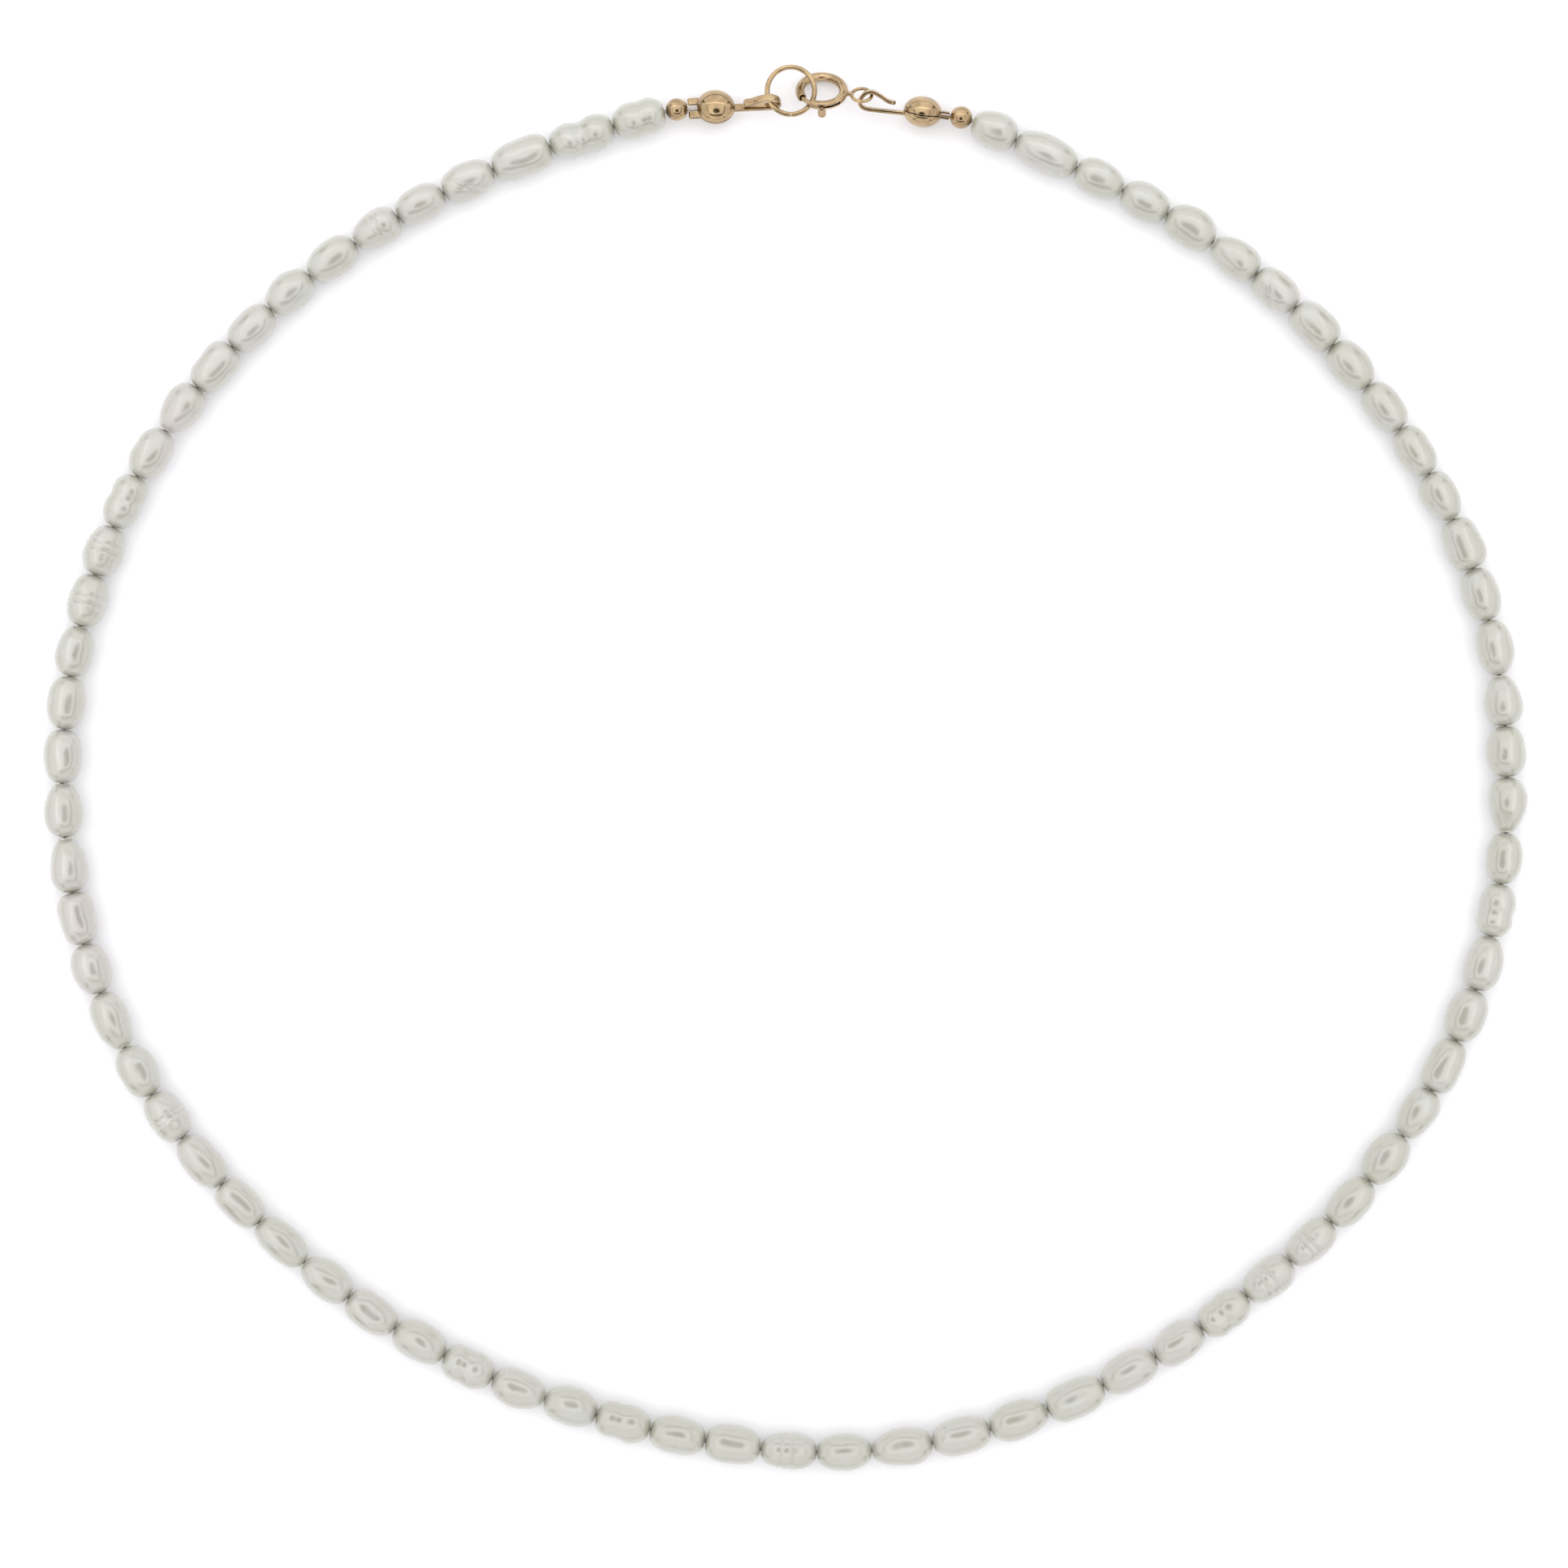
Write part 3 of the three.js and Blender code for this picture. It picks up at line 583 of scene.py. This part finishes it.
HOOK_FLAT_END = HOOK_END - 0.5 * MM
# The hook's curl: how far back from its end each point lies, and its share of the rise
HOOK_CURL = [(0, 0.1), (0.35, 0.75), (1, 1), (1.8, 0.78), (2.6, 0.45), (3.3, 0.4)]


def tip_frame(side):
    """The bead tip's own axes: X to the clasp, Y along the fold and Z out through the cover."""
    fold = joints[f"cover_fold_{side}"]
    hinge = Vector(fold["pos_m"])
    along = (hinge - Vector(joints[f"bead_spin_{side}"]["pos_m"])).normalized()
    across = -Vector(fold["axis"]).normalized()
    cover = along.cross(across).normalized()
    turn = Matrix((along, across, cover)).transposed().to_4x4()
    return Matrix.Translation(hinge + along * FOLD_BACK) @ turn


def add_cup(work):
    """Adds one domed cup, open at the seam and holed at its thread end."""
    dome = bmesh.ops.create_uvsphere(work, u_segments=56, v_segments=36, radius=1)["verts"]
    bmesh.ops.rotate(work, verts=dome, cent=(0, 0, 0), matrix=Matrix.Rotation(math.pi / 2, 3, "Y"))
    bmesh.ops.scale(work, verts=dome, vec=CUP_HALF)
    bmesh.ops.bisect_plane(
        work, geom=work.verts[:] + work.edges[:] + work.faces[:],
        plane_co=(0, 0, SEAM_HALF), plane_no=(0, 0, 1), clear_inner=True,
    )
    hole = [v for v in work.verts if v.co.x < -CUP_HALF.x / 2 and v.co.yz.length < CUP_HOLE]
    bmesh.ops.delete(work, geom=hole, context="VERTS")


def add_leaf(work, offset):
    """Adds one leaf: a flat tongue from the cup's end to the fold, rolled over at the fold."""
    reach = FOLD_RADIUS - LEAF_THICKNESS / 2
    rolled = [(-CUP_HALF.x + LEAF_ROOT, reach), (-CUP_HALF.x, reach)]
    for step in range(FOLD_STEPS + 1):
        angle = math.pi / 2 + math.pi / 2 * step / FOLD_STEPS
        rolled.append((-FOLD_BACK + reach * math.cos(angle), reach * math.sin(angle)))
    low = [work.verts.new((x, offset - LEAF_HALF_WIDTH, z)) for x, z in rolled]
    line_edges = [work.edges.new(pair) for pair in zip(low, low[1:])]
    grown = bmesh.ops.extrude_edge_only(work, edges=line_edges)["geom"]
    moved = [part for part in grown if isinstance(part, bmesh.types.BMVert)]
    bmesh.ops.translate(work, verts=moved, vec=(0, 2 * LEAF_HALF_WIDTH, 0))


def add_strap(work):
    """Adds the strap's middle surface, from inside the cup's wall to the end of its curl."""
    points = [STRAP_ROOT, Vector(((CUP_HALF.x + HOOK_FLAT_END) / 2, 0, -HOOK_DIP))]
    points.append(Vector((HOOK_FLAT_END, 0, -HOOK_DIP)))
    points += [Vector((HOOK_END - back * MM, 0, share * HOOK_RISE)) for back, share in HOOK_CURL]
    points = [2 * points[0] - points[1]] + points + [2 * points[-1] - points[-2]]
    centre = [points[1]]
    for start in range(len(points) - 3):
        for step in range(1, STRAP_STEPS + 1):
            centre.append(smooth_between(*points[start:start + 4], step / STRAP_STEPS))
    low = [work.verts.new(point + Vector((0, -STRAP_WIDTH / 2, 0))) for point in centre]
    line_edges = [work.edges.new(pair) for pair in zip(low, low[1:])]
    grown = bmesh.ops.extrude_edge_only(work, edges=line_edges)["geom"]
    moved = [part for part in grown if isinstance(part, bmesh.types.BMVert)]
    bmesh.ops.translate(work, verts=moved, vec=(0, STRAP_WIDTH, 0))
    for corner in work.verts:
        short = 1 - (corner.co.xz - centre[-1].xz).length / STRAP_END_ROUND
        if short > 0:
            corner.co.y *= max(STRAP_END_NARROWEST, math.sqrt(1 - short ** 2))


def softened(piece, rounding, segments):
    """Rounds the edges that the press or the file left sharp."""
    edge = piece.modifiers.new("edge", "BEVEL")
    edge.width = rounding
    edge.segments = segments
    edge.limit_method = "ANGLE"
    edge.angle_limit = math.radians(50)


def thickened(piece, thickness, offset, rounding):
    """Gives a sheet its metal thickness, and soft edges."""
    wall = piece.modifiers.new("wall", "SOLIDIFY")
    wall.thickness = thickness
    wall.offset = offset
    wall.use_even_offset = True
    softened(piece, rounding, 3)


for side in ("left", "right"):
    place = tip_frame(side)
    upside_down = Matrix.Rotation(math.pi, 4, "X")
    halves = (("cover", Matrix(), f"cover_{side}"), ("base", upside_down, f"tip_{side}"))
    for part, half_turn, body in halves:
        work = bmesh.new()
        add_cup(work)
        bmesh.ops.recalc_face_normals(work, faces=work.faces)
        bmesh.ops.transform(work, matrix=place @ half_turn, verts=work.verts)
        cup = piece_from(work, f"tip_{part}_{side}", gold)
        thickened(cup, CUP_WALL, -1, 0.04 * MM)
        work = bmesh.new()
        for offset in (-LEAF_OFFSET, LEAF_OFFSET):
            add_leaf(work, offset)
        bmesh.ops.transform(work, matrix=place @ half_turn, verts=work.verts)
        leaves = piece_from(work, f"tip_{part}_leaves_{side}", gold)
        thickened(leaves, LEAF_THICKNESS, 0, 0.03 * MM)
        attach(cup, body)
        if part == "cover":
            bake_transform(leaves)
        else:
            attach(leaves, body)
        for piece in (cup, leaves):
            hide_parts(f"tip_{part}_{side}")
    work = bmesh.new()
    add_strap(work)
    bmesh.ops.transform(work, matrix=place, verts=work.verts)
    strap = piece_from(work, f"tip_hook_{side}", gold)
    thickened(strap, STRAP_THICKNESS, 0, 0.09 * MM)
    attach(strap, f"tip_{side}")
    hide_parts(f"tip_base_{side}")


# Crimps. A short soft metal tube is squeezed flat on the thread's end inside each bead tip,
# so the thread can't slip out. It is grey, and just shows through the thread hole.
CRIMP_RADIUS = 0.65 * MM
CRIMP_HOLE = 0.26 * MM
CRIMP_HALF = 0.6 * MM
CRIMP_SQUASH = 0.8
CRIMP_RIM = 0.12 * MM
CRIMP_SIDES = 36
PINCH = 0.12
PINCH_BREADTH = 0.35 * CRIMP_HALF
THREAD_TAIL = 0.9 * MM


def steel_material():
    """Bare grey steel, finely grained."""
    steel = bpy.data.materials.new("steel")
    steel.use_nodes = True
    nodes, links = steel.node_tree.nodes, steel.node_tree.links
    shader = nodes["Principled BSDF"]
    shader.inputs["Metallic"].default_value = 1.0
    shader.inputs["Roughness"].default_value = 0.35
    grain = nodes.new("ShaderNodeTexNoise")
    grain.inputs["Scale"].default_value = 2500
    tones = nodes.new("ShaderNodeValToRGB")
    tones.color_ramp.elements[0].color = (0.33, 0.32, 0.30, 1)
    tones.color_ramp.elements[1].color = (0.56, 0.55, 0.52, 1)
    relief = nodes.new("ShaderNodeBump")
    relief.inputs["Distance"].default_value = 0.01 * MM
    links.new(nodes.new("ShaderNodeTexCoord").outputs["Object"], grain.inputs["Vector"])
    links.new(grain.outputs["Fac"], tones.inputs["Fac"])
    links.new(tones.outputs["Color"], shader.inputs["Base Color"])
    links.new(grain.outputs["Fac"], relief.inputs["Height"])
    links.new(relief.outputs["Normal"], shader.inputs["Normal"])
    return steel


steel = steel_material()

for side in ("left", "right"):
    work = bmesh.new()
    turned(work, [
        (-CRIMP_HALF, CRIMP_HOLE),
        (-CRIMP_HALF, CRIMP_RADIUS - CRIMP_RIM),
        (-CRIMP_HALF + CRIMP_RIM, CRIMP_RADIUS),
        (CRIMP_HALF - CRIMP_RIM, CRIMP_RADIUS),
        (CRIMP_HALF, CRIMP_RADIUS - CRIMP_RIM),
        (CRIMP_HALF, CRIMP_HOLE),
    ], CRIMP_SIDES)
    bmesh.ops.scale(work, verts=work.verts, vec=(1, 1, CRIMP_SQUASH))
    for corner in work.verts:
        pinch = PINCH * math.exp(-((corner.co.x / PINCH_BREADTH) ** 2))
        if corner.co.yz.length > 1.5 * CRIMP_HOLE:
            corner.co.z *= 1 - pinch
    bmesh.ops.transform(work, matrix=tip_frame(side), verts=work.verts)
    crimp = piece_from(work, f"crimp_{side}", steel, 30)
    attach(crimp, f"tip_{side}")
    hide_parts(f"crimp_{side}")

    # The thread's own end runs from the outermost knot through the bead and the crimp
    tail = tip_frame(side) @ Vector((THREAD_TAIL, 0, 0))
    work = bmesh.new()
    add_thread_length(work, tail, knots[0] if side == "left" else knots[-1])
    run = piece_from(work, f"thread_tip_{side}", silk)
    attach(run, f"tip_{side}")
    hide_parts("thread")


# Jump ring. One turn of round gold wire, cut from a coil and closed end to end, links the
# left bead tip's hook to the spring ring. Its butt seam lies on the near side.
JUMP_RADIUS = 2.19 * MM
JUMP_WIRE_RADIUS = 0.24 * MM
JUMP_SEAM_DEGREES = 0.8
JUMP_STEPS = 120


def add_wire_arc(work, ring_radius, wire_radius, from_degrees, to_degrees, steps, sides=24):
    """Adds a round wire bent along an arc about the Z axis, with closed ends."""
    section = bmesh.ops.create_circle(
        work, cap_ends=True, segments=sides, radius=wire_radius)["verts"]
    stand = Matrix.Rotation(math.pi / 2, 3, "X")
    bmesh.ops.rotate(work, verts=section, cent=(0, 0, 0), matrix=stand)
    bmesh.ops.translate(work, verts=section, vec=(ring_radius, 0, 0))
    start = Matrix.Rotation(math.radians(from_degrees), 3, "Z")
    bmesh.ops.rotate(work, verts=section, cent=(0, 0, 0), matrix=start)
    face = section[0].link_faces[0]
    bmesh.ops.spin(
        work, geom=[face] + list(face.edges) + list(face.verts), cent=(0, 0, 0), axis=(0, 0, 1),
        angle=math.radians(to_degrees - from_degrees), steps=steps, use_duplicate=False,
    )


def rounded_ends(work, width):
    """Softens every edge that the saw or the die left sharp."""
    sharp = [edge for edge in work.edges if edge.is_manifold and edge.calc_face_angle() > 1.0]
    bmesh.ops.bevel(
        work, geom=sharp, offset=width, offset_type="OFFSET", segments=2, profile=0.5,
        affect="EDGES", material=-1, clamp_overlap=True,
    )


low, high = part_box("jump_ring")
work = bmesh.new()
half_seam = JUMP_SEAM_DEGREES / 2
add_wire_arc(work, JUMP_RADIUS, JUMP_WIRE_RADIUS, -90 + half_seam, 270 - half_seam, JUMP_STEPS)
bmesh.ops.recalc_face_normals(work, faces=work.faces)
rounded_ends(work, 0.015 * MM)
bmesh.ops.translate(work, verts=work.verts, vec=(low + high) / 2)
jump_ring = piece_from(work, "jump_ring_wire", gold)
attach(jump_ring, "jump_ring")
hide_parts("jump_ring")


# Spring ring. A hollow gold tube bent into a ring, open at a mouth on one side. A bolt slides
# inside it on a coil spring, and closes the mouth; its little lug runs in a slot in the tube.
CLASP_RADIUS = 2.03 * MM
TUBE_RADIUS = 0.42 * MM
TUBE_WALL = 0.13 * MM
MOUTH_FROM = 208
MOUTH_TO = 243
LUG_ANGLE = 270
SLOT_FROM = 265
SLOT_TO = 315
SLOT_HALF = 0.18 * MM
TUBE_STEPS = 130
TUBE_SIDES = 40

clasp_pin = joints["trigger_pull"]
clasp_normal = Vector(clasp_pin["axis"]).normalized()
clasp_along = Vector((1, 0, 0))
clasp_across = clasp_normal.cross(clasp_along)
clasp_turn = Matrix((clasp_along, clasp_across, clasp_normal)).transposed()
clasp_frame = Matrix.Translation(Vector(clasp_pin["pos_m"])) @ clasp_turn.to_4x4()

work = bmesh.new()
add_wire_arc(work, CLASP_RADIUS, TUBE_RADIUS, MOUTH_TO, 360 + MOUTH_FROM, TUBE_STEPS, TUBE_SIDES)
ends = [face for face in work.faces if len(face.verts) > 4]
bmesh.ops.delete(work, geom=ends, context="FACES_ONLY")
bmesh.ops.recalc_face_normals(work, faces=work.faces)
slot = []
for face in work.faces:
    centre = face.calc_center_median()
    angle = math.degrees(math.atan2(centre.y, centre.x)) % 360
    outer_side = centre.xy.length > CLASP_RADIUS
    if SLOT_FROM < angle < SLOT_TO and outer_side and abs(centre.z) < SLOT_HALF:
        slot.append(face)
bmesh.ops.delete(work, geom=slot, context="FACES")
outward = sum(face.normal.xy.dot(face.calc_center_median().xy) for face in work.faces)
if outward < 0:
    bmesh.ops.reverse_faces(work, faces=work.faces)
bmesh.ops.transform(work, matrix=clasp_frame, verts=work.verts)
tube = piece_from(work, "spring_ring_tube", gold)
thickened(tube, TUBE_WALL, -1, 0.03 * MM)
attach(tube, "clasp")
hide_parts("clasp_tube")


# Bolt. A round gold wire bent to the tube's curve slides in its bore and closes the mouth.
# The lug brazed to it comes out through the slot: a small tongue with a hole, which a
# fingernail catches to draw the bolt back.
BOLT_RADIUS = 0.2 * MM
BOLT_REACH = 6
BOLT_BACK = 16
BOLT_STEPS = 40
LUG_FROM = 2.63 * MM
LUG_LENGTH = 1.05 * MM
LUG_HALF_WIDTH = 0.375 * MM
LUG_HOLE = 0.15 * MM
LUG_HALF_THICKNESS = 0.125 * MM
LUG_SIDES = 32
STEM_OVERLAP = 0.3 * MM
STEM_WIDTH = 0.28 * MM

work = bmesh.new()
bolt_from, bolt_to = MOUTH_FROM - BOLT_REACH, LUG_ANGLE + BOLT_BACK
add_wire_arc(work, CLASP_RADIUS, BOLT_RADIUS, bolt_from, bolt_to, BOLT_STEPS)
bmesh.ops.recalc_face_normals(work, faces=work.faces)
rounded_ends(work, 0.08 * MM)

hole_at = Vector((LUG_FROM + LUG_LENGTH - LUG_HALF_WIDTH, 0, 0))
outer = bmesh.ops.create_circle(work, segments=LUG_SIDES, radius=LUG_HALF_WIDTH)["verts"]
inner = bmesh.ops.create_circle(work, segments=LUG_SIDES, radius=LUG_HOLE)["verts"]
rims = list({edge for corner in outer + inner for edge in corner.link_edges})
bridge = bmesh.ops.bridge_loops(work, edges=rims)
lug_corners = outer + inner
bmesh.ops.translate(work, verts=lug_corners, vec=hole_at)
tongue = (hole_at.x - LUG_FROM) / LUG_HALF_WIDTH
for corner in outer:
    if corner.co.x < hole_at.x:
        corner.co.x = hole_at.x + (corner.co.x - hole_at.x) * tongue
        corner.co.y = math.copysign(min(LUG_HALF_WIDTH, abs(corner.co.y) * 1.25), corner.co.y)
grown = bmesh.ops.extrude_face_region(work, geom=bridge["faces"])["geom"]
top = [part for part in grown if isinstance(part, bmesh.types.BMVert)]
bmesh.ops.translate(work, verts=lug_corners, vec=(0, 0, -LUG_HALF_THICKNESS))
bmesh.ops.translate(work, verts=top, vec=(0, 0, LUG_HALF_THICKNESS))

stem = bmesh.ops.create_cube(work, size=1)["verts"]
stem_length = LUG_FROM + STEM_OVERLAP - CLASP_RADIUS
bmesh.ops.scale(work, verts=stem, vec=(stem_length, STEM_WIDTH, 2 * LUG_HALF_THICKNESS))
bmesh.ops.translate(work, verts=stem, vec=(CLASP_RADIUS + stem_length / 2, 0, 0))
lug_turn = Matrix.Rotation(math.radians(LUG_ANGLE), 3, "Z")
bmesh.ops.rotate(work, verts=lug_corners + top + stem, cent=(0, 0, 0), matrix=lug_turn)
bmesh.ops.recalc_face_normals(work, faces=work.faces)
bmesh.ops.transform(work, matrix=clasp_frame, verts=work.verts)
bolt = piece_from(work, "spring_ring_bolt", gold)
softened(bolt, 0.03 * MM, 2)
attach(bolt, "trigger")
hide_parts("clasp_bolt")


# Coil spring. It is wound from fine steel wire and lies in the tube behind the bolt, between
# the bolt's inner end and the end of the bore, and pushes the bolt shut.
SPRING_TURNS = 22
SPRING_COIL_RADIUS = 0.17 * MM
SPRING_WIRE_RADIUS = 0.045 * MM
SPRING_FROM = 289
SPRING_TO = 356
SPRING_STEPS_PER_TURN = 20


# The wire is wound straight along Z, and then bent round to the tube's curve
work = bmesh.new()
section = bmesh.ops.create_circle(
    work, cap_ends=True, segments=8, radius=SPRING_WIRE_RADIUS)["verts"]
bmesh.ops.rotate(work, verts=section, cent=(0, 0, 0), matrix=Matrix.Rotation(math.pi / 2, 3, "Y"))
bmesh.ops.rotate(work, verts=section, cent=(0, 0, 0), matrix=Matrix.Rotation(math.pi / 2, 3, "Z"))
bmesh.ops.translate(work, verts=section, vec=(SPRING_COIL_RADIUS, 0, 0))
spring_length = math.radians(SPRING_TO - SPRING_FROM) * CLASP_RADIUS
spring_steps = SPRING_TURNS * SPRING_STEPS_PER_TURN
face = section[0].link_faces[0]
bmesh.ops.spin(
    work, geom=[face] + list(face.edges) + list(face.verts), cent=(0, 0, 0), axis=(0, 0, 1),
    dvec=(0, 0, spring_length / spring_steps), angle=2 * math.pi * SPRING_TURNS,
    steps=spring_steps, use_duplicate=False,
)
for corner in work.verts:
    turn = math.radians(SPRING_FROM) + corner.co.z / CLASP_RADIUS
    reach = CLASP_RADIUS + corner.co.x
    corner.co = (reach * math.cos(turn), reach * math.sin(turn), corner.co.y)
bmesh.ops.recalc_face_normals(work, faces=work.faces)
if work.calc_volume(signed=True) < 0:
    bmesh.ops.reverse_faces(work, faces=work.faces)
bmesh.ops.transform(work, matrix=clasp_frame, verts=work.verts)
spring = piece_from(work, "spring_ring_coil", steel)
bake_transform(spring)
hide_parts("clasp_spring")


# Eye. A small closed ring of gold wire is soldered to the tube by a short neck, and hangs in
# the right bead tip's hook.
EYE_ANGLE = -9
EYE_REACH = 3.75 * MM
EYE_RADIUS = 0.92 * MM
EYE_WIRE_RADIUS = 0.165 * MM
EYE_SIDES = 20
EYE_STEPS = 72
NECK_ROOT_RADIUS = 0.24 * MM
NECK_END_RADIUS = 0.20 * MM
NECK_OVERLAP = 0.04 * MM

work = bmesh.new()
section = bmesh.ops.create_circle(work, segments=EYE_SIDES, radius=EYE_WIRE_RADIUS)["verts"]
bmesh.ops.rotate(work, verts=section, cent=(0, 0, 0), matrix=Matrix.Rotation(math.pi / 2, 3, "X"))
bmesh.ops.translate(work, verts=section, vec=(EYE_RADIUS, 0, 0))
rim = list({edge for corner in section for edge in corner.link_edges})
bmesh.ops.spin(
    work, geom=section + rim, cent=(0, 0, 0), axis=(0, 0, 1),
    angle=2 * math.pi, steps=EYE_STEPS, use_merge=True, use_duplicate=False,
)
bmesh.ops.remove_doubles(work, verts=work.verts, dist=1e-8)
bmesh.ops.translate(work, verts=work.verts, vec=(EYE_REACH, 0, 0))

neck_from = CLASP_RADIUS + TUBE_RADIUS - NECK_OVERLAP
neck_to = EYE_REACH - EYE_RADIUS
neck = bmesh.ops.create_cone(
    work, cap_ends=True, segments=24, radius1=NECK_ROOT_RADIUS, radius2=NECK_END_RADIUS,
    depth=neck_to - neck_from,
)["verts"]
bmesh.ops.rotate(work, verts=neck, cent=(0, 0, 0), matrix=Matrix.Rotation(math.pi / 2, 3, "Y"))
bmesh.ops.translate(work, verts=neck, vec=((neck_from + neck_to) / 2, 0, 0))
eye_turn = Matrix.Rotation(math.radians(EYE_ANGLE), 3, "Z")
bmesh.ops.rotate(work, verts=work.verts, cent=(0, 0, 0), matrix=eye_turn)
bmesh.ops.recalc_face_normals(work, faces=work.faces)
bmesh.ops.transform(work, matrix=clasp_frame, verts=work.verts)
eye = piece_from(work, "spring_ring_eye", gold)
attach(eye, "clasp")
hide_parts("clasp_eye")
